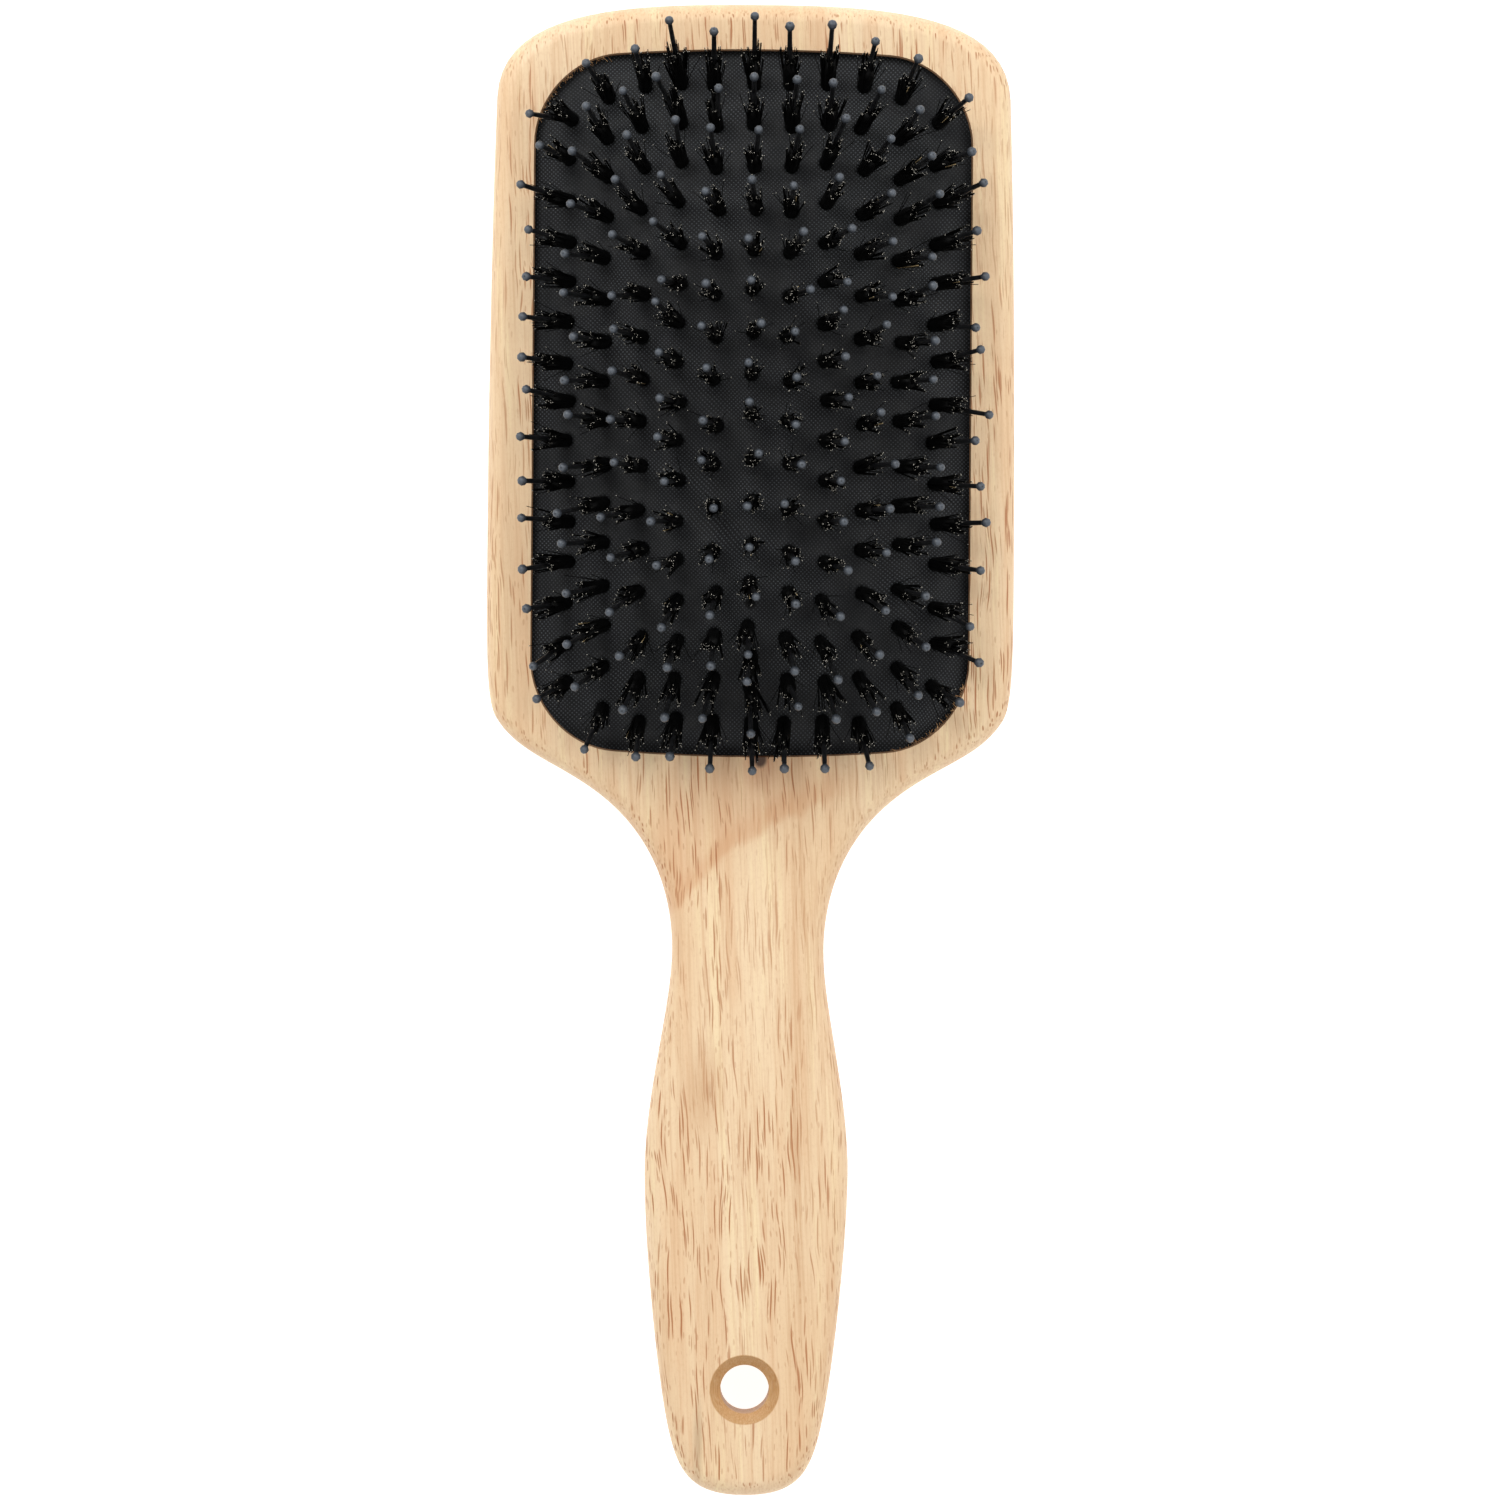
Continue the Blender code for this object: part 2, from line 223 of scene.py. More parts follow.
def finished(bm, name, materials, smooth_angle=None):
    """Turns a bmesh into a piece in the scene, shaded smooth, with edges sharper than an angle kept crisp."""
    mesh = bpy.data.meshes.new(name)
    bm.to_mesh(mesh)
    bm.free()
    for material in materials:
        mesh.materials.append(material)
    mesh.polygons.foreach_set("use_smooth", [True] * len(mesh.polygons))
    if smooth_angle:
        mesh.set_sharp_from_angle(angle=math.radians(smooth_angle))
    made = bpy.data.objects.new(name, mesh)
    bpy.context.scene.collection.objects.link(made)
    return made


print("helpers ready")

# %% [markdown]
# ## Wood material
# Rubberwood is pale cream with straight grain. Its open pores show as short brown dashes that run with the
# grain, and this board has a pinker band of heartwood at the neck and two small knots. Each of these is its
# own mask laid over the base colour: stretched noise for the grain, stretched cells for the pores, and
# distances for the knots.

# %%
GRAIN_SLANT = 0.045
PALE_WOOD = tint(239, 212, 174)
TAN_WOOD = tint(231, 198, 157)
BROWN_BAND = tint(224, 182, 140)
YELLOW_BAND = tint(245, 223, 178)
FINE_LINE = tint(214, 173, 132)
HAIR_LINE = tint(205, 160, 117)
HEARTWOOD = tint(205, 146, 100)
SPECKLE = tint(208, 162, 118)
PORE = tint(172, 106, 58)
STREAK = tint(196, 148, 104)
CHAMFER_WOOD = tint(190, 140, 82)
# Deep brown for the pocket's walls, eased edge and groove
POCKET_WALL_BROWN = tint(104, 62, 32)

# Each layer of pores: width and length of a cell, reach of the dash, share of cells used, seed, strength
PORE_LAYERS = (
    (0.42, 12.0, 0.4, 0.45, 3.0, 1.0),
    (0.4, 6.2, 0.4, 0.3, 11.0, 0.8),
    (0.44, 1.9, 0.38, 0.24, 23.0, 0.4),
)
# Each mark: x, y, radius, soft edge and aspect of its spot, then strength and colour
MARKS = (
    ((1.8, -1.6, 0.8, 3.2, 0.6), 0.35, (170, 104, 68)),  # stain round the knot below the pad
    ((1.8, -1.5, 0.7, 0.7, 0.8), 0.9, (52, 28, 22)),  # the knot itself
    ((-7.2, -56.0, 0.4, 4.6, 0.42), 0.5, (200, 154, 110)),  # shade round the pin knot in the handle
    ((-6.2, -56.1, 0.2, 0.9, 0.5), 0.26, (168, 112, 70)),  # the pin knot itself
    ((-7.6, -113.5, 0.1, 1.1, 0.12), 0.5, (158, 124, 92)),  # grey mark near the handle's end
)
STREAK_SPOT = (8.8, -52.0, 0.8, 2.2, 0.04)
NECK_SPOT = (-4.0, -10.0, 13.0, 12.0)
# The heartwood's edge: the direction it faces, how much it curves, and how far it wanders in mm
HEART_FACES = (-0.58, 0.81)
HEART_CURVE = 0.012
HEART_WANDER = 6.0

hang_low, hang_high = (Vector(side) for side in next(
    item["box_m"] for item in frame["record"]["physics"]["openings"] if item["name"] == "hanging_hole"
))
hang_y = (hang_low.y + hang_high.y) / 2
BORE = 4.0 * MM
CHAMFER = 1.65 * MM


def split(tree, vector):
    return wire(tree, "ShaderNodeSeparateXYZ", None, i0=vector).outputs


def spot(tree, mm, x, y, radius, soft, aspect=1.0):
    """A round mask in plan, 1 inside and 0 outside; an aspect below 1 draws it out along the brush."""
    place = split(tree, mm)
    across = maths(tree, "SUBTRACT", place[0], x)
    along = times(tree, maths(tree, "SUBTRACT", place[1], y), aspect)
    reach = maths(tree, "SQRT", plus(tree, times(tree, across, across), times(tree, along, along)))
    return ramp(tree, reach, radius, radius + soft, 1.0, 0.0)


def pores(tree, mm, wide, long, reach, share, seed):
    """Short dashes along the grain: stretched cells, of which only a share hold a pore."""
    wobble = times(tree, noise(tree, stretch(tree, mm, 0.12, 0.05, 0.1), 1.0, 2.0), 3.0)
    shift = wire(tree, "ShaderNodeCombineXYZ", None, i0=wobble, i1=seed, i2=seed).outputs[0]
    moved = wire(tree, "ShaderNodeVectorMath", {"operation": "ADD"}, i0=mm, i1=shift).outputs[0]
    squeezed = stretch(tree, moved, 1 / wide, 1 / long, 1 / wide)
    cells = wire(tree, "ShaderNodeTexVoronoi", None, Vector=squeezed, Scale=1.0)
    chance = wire(tree, "ShaderNodeSeparateColor", None, i0=cells.outputs["Color"]).outputs[0]
    dash = ramp(tree, cells.outputs["Distance"], reach * 0.55, reach, 1.0, 0.0)
    return times(tree, dash, maths(tree, "LESS_THAN", chance, share))


def heartwood(tree, level, x, y, fine):
    """A faint pink zone below the pad, with a darker curved band along its lower edge."""
    drift = noise(tree, stretch(tree, level, 0.1, 0.06, 0.05), 1.0, 3.0, 0.6)
    curve = times(tree, times(tree, x, x), HEART_CURVE)
    line = plus(tree, times(tree, x, HEART_FACES[0]), times(tree, y, HEART_FACES[1]))
    line = plus(tree, plus(tree, line, times(tree, drift, HEART_WANDER)), curve)
    zone = times(tree, ramp(tree, line, -11.0, -5.0), ramp(tree, line, 0.0, 14.0, 1.0, 0.0))
    band = times(tree, ramp(tree, line, -9.6, -8.2), ramp(tree, line, -7.8, -4.6, 1.0, 0.0))
    both = plus(tree, times(tree, zone, 0.34), times(tree, band, 0.42))
    near_neck = spot(tree, level, *NECK_SPOT)
    return times(tree, times(tree, both, near_neck), ramp(tree, fine, 0.3, 0.7, 0.7, 1.0))


def all_pores(tree, mm, facing):
    """Every layer of pores, thicker in patches, and fading on the two ends, where they are cut across."""
    *first, strength = PORE_LAYERS[0]
    found = times(tree, pores(tree, mm, *first), strength)
    for *layer, strength in PORE_LAYERS[1:]:
        found = maths(tree, "MAXIMUM", found, times(tree, pores(tree, mm, *layer), strength))
    patch = ramp(tree, noise(tree, stretch(tree, mm, 0.1, 0.02, 0.1), 1.0, 2.0), 0.36, 0.56, 0.5, 1.0)
    turned_to = maths(tree, "ABSOLUTE", split(tree, facing)[1])
    return times(tree, times(tree, found, patch), ramp(tree, turned_to, 0.3, 0.75, 1.0, 0.12))


def wood_group():
    """The look of the board: colour, roughness and relief, from a place in metres and a surface direction."""
    tree = bpy.data.node_groups.new("rubberwood", "ShaderNodeTree")
    for name in ("Place", "Facing"):
        tree.interface.new_socket(name, in_out="INPUT", socket_type="NodeSocketVector")
    tree.interface.new_socket("Cut", in_out="INPUT", socket_type="NodeSocketFloat")
    tree.interface.new_socket("Color", in_out="OUTPUT", socket_type="NodeSocketColor")
    for name in ("Roughness", "Relief"):
        tree.interface.new_socket(name, in_out="OUTPUT", socket_type="NodeSocketFloat")
    given = tree.nodes.new("NodeGroupInput").outputs
    result = tree.nodes.new("NodeGroupOutput")
    level = millimetres(tree, given["Place"])
    x, y, z = split(tree, level)
    # The grain runs a few degrees off the brush's own length
    slanted = plus(tree, x, times(tree, y, GRAIN_SLANT))
    mm = wire(tree, "ShaderNodeCombineXYZ", None, i0=slanted, i1=y, i2=z).outputs[0]

    broad = noise(tree, stretch(tree, mm, 0.07, 0.011, 0.07), 1.0, 3.0)
    bands = noise(tree, stretch(tree, mm, 0.34, 0.018, 0.3), 1.0, 4.0, 0.6)
    fine = noise(tree, stretch(tree, mm, 2.6, 0.05, 1.6), 1.0, 3.0, 0.6)
    hair = noise(tree, stretch(tree, mm, 7.0, 0.35, 5.0), 1.0, 2.0, 0.6)
    speckle = noise(tree, stretch(tree, mm, 2.2, 1.4, 2.2), 1.0, 2.0, 0.7)
    colour = mix(tree, ramp(tree, broad, 0.34, 0.66), PALE_WOOD, TAN_WOOD)
    colour = mix(tree, ramp(tree, bands, 0.5, 0.66, 0.0, 0.45), colour, BROWN_BAND)
    colour = mix(tree, ramp(tree, bands, 0.34, 0.47, 0.55, 0.0), colour, YELLOW_BAND)
    colour = mix(tree, ramp(tree, fine, 0.42, 0.7, 0.0, 0.55), colour, FINE_LINE)
    colour = mix(tree, ramp(tree, hair, 0.55, 0.75, 0.0, 0.22), colour, HAIR_LINE)
    colour = mix(tree, heartwood(tree, level, x, y, fine), colour, HEARTWOOD)
    colour = mix(tree, ramp(tree, speckle, 0.45, 0.75, 0.0, 0.18), colour, SPECKLE)
    open_pores = all_pores(tree, mm, given["Facing"])
    colour = mix(tree, times(tree, open_pores, 0.9), colour, PORE)

    for place, strength, shade in MARKS:
        colour = mix(tree, times(tree, spot(tree, level, *place), strength), colour, tint(*shade))
    streak = times(tree, spot(tree, level, *STREAK_SPOT), ramp(tree, fine, 0.3, 0.65, 0.08, 0.38))
    colour = mix(tree, streak, colour, STREAK)
    # The chamfer round the hanging hole cuts the grain across, which drinks more varnish and looks darker
    ring = spot(tree, level, 0.0, hang_y / MM, (BORE + CHAMFER) / MM - 0.05, 0.25)
    colour = mix(tree, times(tree, ring, ramp(tree, hair, 0.35, 0.65, 0.6, 0.9)), colour, CHAMFER_WOOD)
    # Darker towards a deep brown on the pocket's walls, eased edge and groove
    colour = mix(tree, given["Cut"], colour, POCKET_WALL_BROWN)
    relief = plus(tree, times(tree, open_pores, -1.0), times(tree, hair, 0.35))
    feed(tree, result, Color=colour, Roughness=ramp(tree, hair, 0.3, 0.7, 0.44, 0.56), Relief=relief)
    return tree


def wood_material(name, darken_share):
    """The board's look; a darkening share above 0 brings it towards a deep brown, used on the pocket's walls,
    eased edge and groove.
    """
    made, tree, shader, _ = new_material(name)
    place = wire(tree, "ShaderNodeTexCoord").outputs
    look = wire(tree, "ShaderNodeGroup", {"node_tree": rubberwood},
                Place=place["Object"], Facing=place["Normal"], Cut=darken_share).outputs
    feed(
        tree,
        shader,
        Base_Color=look["Color"],
        Roughness=look["Roughness"],
        Normal=bumped(tree, look["Relief"], 0.04 * MM, 0.7),
    )
    return made


rubberwood = wood_group()
wood = wood_material("wood", 0.0)
pocket_wall_wood = wood_material("wood_pocket_wall", 0.82)
print("hanging hole at", round(hang_y, 4))

# %% [markdown]
# ## Wooden body
# On the real brush the blank is sawn to its outline, the edges are rounded over with a router, then the
# pocket and the hanging hole are cut. The same order works here: a smooth curve for the outline, extrude,
# bevel, then the cuts for the pocket, its eased edge, the groove that holds the rubber, and the hole.

# %%
NECK = 12.45 * MM
GRIP = 16.7 * MM
# Each stop: point, direction the edge runs, and how far its curve handles reach before and after
OUTLINE_STOPS = (
    ((0, HALF_LENGTH), (1, 0), 0, 0.0198),
    ((HALF_HEAD - 0.0011, HALF_LENGTH - 0.0154), (0.035, -1), 0.0148, 0.022),
    ((HALF_HEAD, 0.03005), (0, -1), 0.0246, 0.014),
    ((HALF_HEAD - 0.0016, 0.00515), (-0.512, -0.859), 0.0031, 0.0074),
    ((NECK + 0.0108, -0.00845), (-0.765, -0.644), 0.0096, 0.0088),
    ((NECK, -0.03295), (0, -1), 0.0104, 0.0093),
    ((GRIP, -0.0694), (0, -1), 0.0132, 0.0114),
    ((GRIP - 0.0042, -HALF_LENGTH + 0.0109), (-0.219, -0.976), 0.009, 0.0075),
    ((0, -HALF_LENGTH), (-1, 0), 0.0086, 0),
)


def body_outline(steps):
    side = []
    for here, there in zip(OUTLINE_STOPS, OUTLINE_STOPS[1:]):
        start, end = Vector((*here[0], 0)), Vector((*there[0], 0))
        first_handle = start + Vector((*here[1], 0)).normalized() * here[3]
        second_handle = end - Vector((*there[1], 0)).normalized() * there[2]
        curve = interpolate_bezier(start, first_handle, second_handle, end, steps)
        side += [(point.x, point.y) for point in curve[:-1]]
    side.append((0, -HALF_LENGTH))
    return side + [(-x, y) for x, y in reversed(side[1:-1])]


def pad_outline(grow, steps=16):
    half_x, half_y, corner = PAD_HALF_X + grow, PAD_HALF_Y + grow - PAD_BOW, PAD_CORNER + grow
    quarter = []
    for step in range(steps + 1):
        turn = math.pi / 2 * step / steps
        x, y = half_x - corner + corner * math.cos(turn), half_y - corner + corner * math.sin(turn)
        quarter.append((x, y + PAD_BOW * (1 - (x / half_x) ** 2)))
    for step in range(1, 6):
        x = (half_x - corner) * (1 - step / 6)
        quarter.append((x, half_y + PAD_BOW * (1 - (x / half_x) ** 2)))
    upper = quarter + [(0, half_y + PAD_BOW)] + [(-px, py) for px, py in reversed(quarter)]
    return [(px, py + PAD_Y) for px, py in upper + [(-px, -py) for px, py in upper]]


def slab(outline, low, high):
    bm = bmesh.new()
    base = bm.faces.new([bm.verts.new((x, y, low)) for x, y in outline])
    top = bmesh.ops.extrude_face_region(bm, geom=[base])["geom"]
    raised = [item for item in top if isinstance(item, bmesh.types.BMVert)]
    bmesh.ops.translate(bm, verts=raised, vec=(0, 0, high - low))
    bmesh.ops.recalc_face_normals(bm, faces=bm.faces[:])
    return bm


def cut(target, cutter):
    """Cuts one solid out of another for good, then throws the cutter away."""
    step = target.modifiers.new("cut", "BOOLEAN")
    step.object, step.solver, step.operation = cutter, "EXACT", "DIFFERENCE"
    step.material_mode = "TRANSFER"
    graph = bpy.context.evaluated_depsgraph_get()
    mesh = bpy.data.meshes.new_from_object(target.evaluated_get(graph))
    target.modifiers.clear()
    target.data = mesh
    bpy.data.objects.remove(cutter, do_unlink=True)


EDGE_ROUND = 3.0 * MM
POCKET_DEPTH = 8.5 * MM
OVER = 2.0 * MM
GROOVE_DEPTH = 2.0 * MM
GROOVE_GAP = 0.3 * MM
EASED = 0.24 * MM
SHARP_DEGREES = 32

bm = slab(body_outline(20), wood_low.z, FACE)
rim = [edge for edge in bm.edges if abs(edge.verts[0].co.z - edge.verts[1].co.z) < SAME_PLACE]
bmesh.ops.bevel(bm, geom=rim, offset=EDGE_ROUND, segments=7, profile=0.5, affect="EDGES", material=-1)
body = finished(bm, "wood_paddle", [wood])

cut(body, finished(slab(pad_outline(0), FACE - POCKET_DEPTH, FACE + OVER), "pocket", [pocket_wall_wood]))
# The pocket's top edge is eased: the cutter widens from the pocket's outline above the face
bm = slab(pad_outline(0), FACE - EASED, FACE + EASED)
wide = pad_outline(2 * EASED)
narrow = pad_outline(0)
for vert in bm.verts:
    if vert.co.z > FACE:
        index = min(range(len(narrow)), key=lambda at: math.dist(narrow[at], vert.co.xy))
        vert.co.x, vert.co.y = wide[index]
cut(body, finished(bm, "eased_edge", [pocket_wall_wood]))
bm = slab(pad_outline(GROOVE_DEPTH), pad_low.z - GROOVE_GAP, RIM_TOP + GROOVE_GAP)
cut(body, finished(bm, "groove", [pocket_wall_wood]))

hole_profile = [
    (0, FACE + OVER),
    (BORE + CHAMFER + OVER, FACE + OVER),
    (BORE, FACE - CHAMFER),
    (BORE, CHAMFER),
    (BORE + CHAMFER + OVER, -OVER),
    (0, -OVER),
]
bm = turned(hole_profile, 72)
bmesh.ops.translate(bm, verts=bm.verts[:], vec=(0, hang_y, 0))
cut(body, finished(bm, "hang_cutter", [wood]))
body.data.polygons.foreach_set("use_smooth", [True] * len(body.data.polygons))
body.data.set_sharp_from_angle(angle=math.radians(SHARP_DEGREES))
keep_flat = body.modifiers.new("even_shading", "WEIGHTED_NORMAL")
keep_flat.keep_sharp = True
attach(body, "brush_body")
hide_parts("wooden_body")
print("wooden body:", len(body.data.polygons), "faces")

# %% [markdown]
# ## Where the tufts stand
# The columns run the length of the pad. Each tuft stands square to the dome and a little further out, so the
# bristles fan outwards. The middle column leaves room for the small vent hole that lets air in and out.


# %%
def dome_share(x, y):
    across = min(1.0, abs(x) / PAD_HALF_X)
    along = min(1.0, max(0.0, abs(y) - RIDGE) / PAD_HALF_X)
    return (1 - across**2) * (1 - along**2)


def spread(count, low, high):
    return [low + (high - low) * step / (count - 1) for step in range(count)]


def from_end_of(index, count):
    """How many steps an item is from the nearer end of its row."""
    return min(index, count - 1 - index)


def column_rows(column):
    from_side = from_end_of(column, len(COLUMN_COUNTS))
    high = PAD_HALF_Y - END_MARGIN - (END_DROP[from_side] if from_side < len(END_DROP) else 0.0)
    count = COLUMN_COUNTS[column]
    if column != len(COLUMN_COUNTS) // 2:
        return spread(count, -high, high)
    below = round(count * (VENT_Y + high) / (2 * high)) + 1
    return spread(below, -high, VENT_Y - VENT_CLEAR) + spread(count - below, VENT_Y + VENT_CLEAR, high)


def dome_slope(x, y):
    step = 0.1 * MM
    slope_x = (dome_share(x + step, y) - dome_share(x - step, y)) * DOME / (2 * step)
    slope_y = (dome_share(x, y + step) - dome_share(x, y - step)) * DOME / (2 * step)
    return slope_x, slope_y


def lean_at(x, y):
    slope_x, slope_y = dome_slope(x, y)
    fan = FAN * y / PAD_HALF_Y
    return Vector((-slope_x * LEAN_FACTOR, fan - slope_y * LEAN_FACTOR, 1)).normalized()


ROOT_JITTER = 0.2 * MM
random.seed(7)
runs = {}
middle = len(COLUMN_COUNTS) // 2
for column, count in enumerate(COLUMN_COUNTS):
    x = (column - middle) * COLUMN_PITCH
    from_side = from_end_of(column, len(COLUMN_COUNTS))
    for row, y in enumerate(column_rows(column)):
        from_end = from_end_of(row, count)
        ring = min(from_side, from_end)
        if ring == middle:
            key = "centre"
        elif from_end == ring:
            key = f"{ring + 1}_{'tail' if row == from_end else 'head'}"
        else:
            key = f"{ring + 1}_{'left' if column < middle else 'right'}"
        place = (x + random.gauss(0, ROOT_JITTER), y + random.gauss(0, ROOT_JITTER))
        runs.setdefault(key, []).append(place)
roots = [place for places in runs.values() for place in places]
print(len(roots), "tufts in", len(runs), "runs")


def carrier(key):
    return "pad_centre" if key == "centre" else f"pad_ring_{key.split('_')[0]}"


# %% [markdown]
# ## Rubber material
# The pad is a sheet of black rubber pressed against cloth in its mould, so it carries a fine raised weave.
# The weave is a small bump whose tops are painted lighter as a painted highlight, and a few specks of dust
# sit on it.


# %%
WEAVE_PITCH = 0.7
# How strongly the weave's tops are painted lighter, a painted highlight
WEAVE_HIGHLIGHT = 0.68
DUST_SHARE = 0.12


def rubber_material():
    made, tree, shader, mm = new_material("rubber")
    bend = times(tree, noise(tree, stretch(tree, mm, 0.05, 0.05, 0.05), 1.0, 2.0), 3.0)
    u, v = (
        maths(tree, "SINE", times(tree, plus(tree, along, bend), math.tau / WEAVE_PITCH))
        for along in split(tree, mm)[:2]
    )
    weave = ramp(tree, times(tree, u, v), 0.1, 0.95)
    patch = ramp(tree, noise(tree, stretch(tree, mm, 0.08, 0.08, 0.08), 1.0, 3.0), 0.3, 0.7, 0.3, 1.0)
    weave = times(tree, weave, patch)
    cloud = noise(tree, stretch(tree, mm, 0.3, 0.3, 0.3), 1.0, 4.0)
    colour = mix(tree, ramp(tree, cloud, 0.3, 0.7), tint(10, 11, 12), tint(18, 19, 21))
    # Painted highlight: the tops of the weave are painted lighter, as light catching them would make them
    colour = mix(tree, times(tree, weave, WEAVE_HIGHLIGHT), colour, tint(96, 100, 104))
    # Painted shade: the vent's pit is painted nearly black, standing in for the shade inside the hole
    vent_shade = spot(tree, mm, 0.0, (PAD_Y + VENT_Y) / MM, 0.7, 0.35)
    colour = mix(tree, vent_shade, colour, tint(2, 2, 2))
    cells = wire(tree, "ShaderNodeTexVoronoi", None, Vector=stretch(tree, mm, 0.9, 0.9, 0.9), Scale=1.0)
    chance = wire(tree, "ShaderNodeSeparateColor", None, i0=cells.outputs["Color"]).outputs[1]
    grain = ramp(tree, cells.outputs["Distance"], 0.03, 0.06, 1.0, 0.0)
    dust = times(tree, grain, maths(tree, "LESS_THAN", chance, DUST_SHARE))
    colour = mix(tree, times(tree, dust, 0.5), colour, tint(150, 140, 125))
    feed(
        tree,
        shader,
        Base_Color=colour,
        Roughness=ramp(tree, cloud, 0.3, 0.7, 0.62, 0.78),
        Specular_IOR_Level=0.35,
        Normal=bumped(tree, weave, 0.08 * MM, 0.9),
    )
    return made


rubber = rubber_material()

# %% [markdown]
# ## Rubber cushion
# The cushion is a sheet that bulges out of the pocket. Where each tuft is pulled through, the rubber
# puckers: a low ridge round a small pit. The outside is a fine grid lifted to the dome, with a ridge and
# pit added near each tuft and a plain pit for the vent, and its rim slides under the wooden lip. A skirt
# and a flat underside, out of sight in the pocket, close it.

# %%
GRID = 0.5 * MM
GRID_OVERLAP = 1.5 * MM
TUCKED_IN = 1.3 * MM
SKIRT_LIFT = 0.05 * MM
BUCKET = 5 * MM
# How far in from the pocket's edge the dome takes to rise to its full share, and the seat pressed in beside
# the edge
RISE = 3.2 * MM
SEAT_WIDTH, SEAT_DEPTH = 1.5 * MM, 0.12 * MM
# The pucker round each tuft
PIT, PIT_DEPTH = 1.05 * MM, 0.35 * MM
RIDGE_RADIUS, RIDGE_WIDTH, RIDGE_HEIGHT = 1.55 * MM, 0.55 * MM, 0.42 * MM
PUCKER_REACH = 3.4 * MM
# The vent's pit, with its own low ridge
VENT_RADIUS, VENT_SLOPE, VENT_DEPTH = 1.0 * MM, 0.8 * MM, 1.0 * MM
VENT_RIDGE_RADIUS, VENT_RIDGE_WIDTH, VENT_RIDGE_HEIGHT = 1.5 * MM, 0.6 * MM, 0.16 * MM
VENT_REACH = 4 * MM

reach_x, reach_y = PAD_HALF_X + GRID_OVERLAP, PAD_HALF_Y + GRID_OVERLAP
columns, rows = round(2 * reach_x / GRID), round(2 * reach_y / GRID)
bm = bmesh.new()
bmesh.ops.create_grid(bm, x_segments=columns, y_segments=rows, size=1.0)
bmesh.ops.scale(bm, verts=bm.verts[:], vec=(reach_x, reach_y, 1))

buckets = {}
for x, y in roots:
    buckets.setdefault((int(x // BUCKET), int(y // BUCKET)), []).append((x, y))


def near_roots(x, y):
    home_x, home_y = int(x // BUCKET), int(y // BUCKET)
    for step_x in (-1, 0, 1):
        for step_y in (-1, 0, 1):
            yield from buckets.get((home_x + step_x, home_y + step_y), ())


def inset(x, y):
    """How far a point is inside the opening's rounded edge; negative when it is under the wooden lip."""
    half_y = PAD_HALF_Y - PAD_BOW * (x / PAD_HALF_X) ** 2
    corner_x, corner_y = abs(x) - (PAD_HALF_X - PAD_CORNER), abs(y) - (half_y - PAD_CORNER)
    if corner_x > 0 and corner_y > 0:
        return PAD_CORNER - math.hypot(corner_x, corner_y)
    return min(PAD_HALF_X - abs(x), half_y - abs(y))


def smooth(value):
    value = max(0.0, min(1.0, value))
    return value * value * (3 - 2 * value)


def ridge(gap, radius, width, height):
    return height * math.exp(-(((gap - radius) / width) ** 2))


for vert in bm.verts:
    x, y = vert.co.x, vert.co.y
    edge = inset(x, y)
    height = DOME * dome_share(x, y) * smooth(edge / RISE)
    for root_x, root_y in near_roots(x, y):
        gap = math.hypot(x - root_x, y - root_y)
        if gap < PUCKER_REACH:
            height += ridge(gap, RIDGE_RADIUS, RIDGE_WIDTH, RIDGE_HEIGHT)
            height -= PIT_DEPTH * smooth((PIT - gap) / PIT)
    vent_gap = math.hypot(x, y - VENT_Y)
    if vent_gap < VENT_REACH:
        height += ridge(vent_gap, VENT_RIDGE_RADIUS, VENT_RIDGE_WIDTH, VENT_RIDGE_HEIGHT)
        height -= VENT_DEPTH * smooth((VENT_RADIUS - vent_gap) / VENT_SLOPE)
    if edge < SEAT_WIDTH:
        height -= SEAT_DEPTH * smooth((SEAT_WIDTH - edge) / SEAT_WIDTH)
    vert.co.z = RIM_TOP + height
    vert.co.y += PAD_Y
centres = ((face, face.calc_center_median()) for face in bm.faces)
outside = [face for face, centre in centres if inset(centre.x, centre.y - PAD_Y) < -TUCKED_IN]
bmesh.ops.delete(bm, geom=outside, context="FACES")
bmesh.ops.recalc_face_normals(bm, faces=bm.faces[:])
bm.faces.ensure_lookup_table()
if bm.faces[0].normal.z < 0:
    bmesh.ops.reverse_faces(bm, faces=bm.faces[:])
border = [edge for edge in bm.edges if edge.is_boundary]
skirt = bmesh.ops.extrude_edge_only(bm, edges=border)["geom"]
for vert in (item for item in skirt if isinstance(item, bmesh.types.BMVert)):
    vert.co.z = pad_low.z + SKIRT_LIFT
lower = [item for item in skirt if isinstance(item, bmesh.types.BMEdge)]
bmesh.ops.triangle_fill(bm, edges=lower, use_beauty=True)
bmesh.ops.recalc_face_normals(bm, faces=bm.faces[:])
cushion = finished(bm, "cushion_skin", [rubber], 60)
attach(cushion, "brush_body")
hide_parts("rubber_cushion")
print("cushion:", len(cushion.data.polygons), "faces")

# %% [markdown]
# ## Nylon and bristle materials
# The quills are black nylon rods with a slate grey ball moulded on the end; the mould leaves a small dark
# gate mark on some balls, and each ball's top is painted lighter as a painted highlight. Boar bristle is
# black and nearly matt, and many of its cut ends catch the light, shown as a tiny pale painted highlight.
# Numbers stored on the points of each mesh tell the material where the ends, gate marks, ball highlights and
# pale hairs are.


# %%
def stored(tree, name):
    return wire(tree, "ShaderNodeAttribute", {"attribute_name": name}).outputs["Fac"]


def stem_material():
    made, tree, shader, mm = new_material("nylon_stem")
    worn = noise(tree, mm, 1.2, 3.0)
    colour = mix(tree, ramp(tree, worn, 0.35, 0.7), tint(10, 10, 11), tint(24, 25, 27))
    feed(tree, shader, Base_Color=colour, Roughness=ramp(tree, worn, 0.3, 0.7, 0.28, 0.42))
    return made


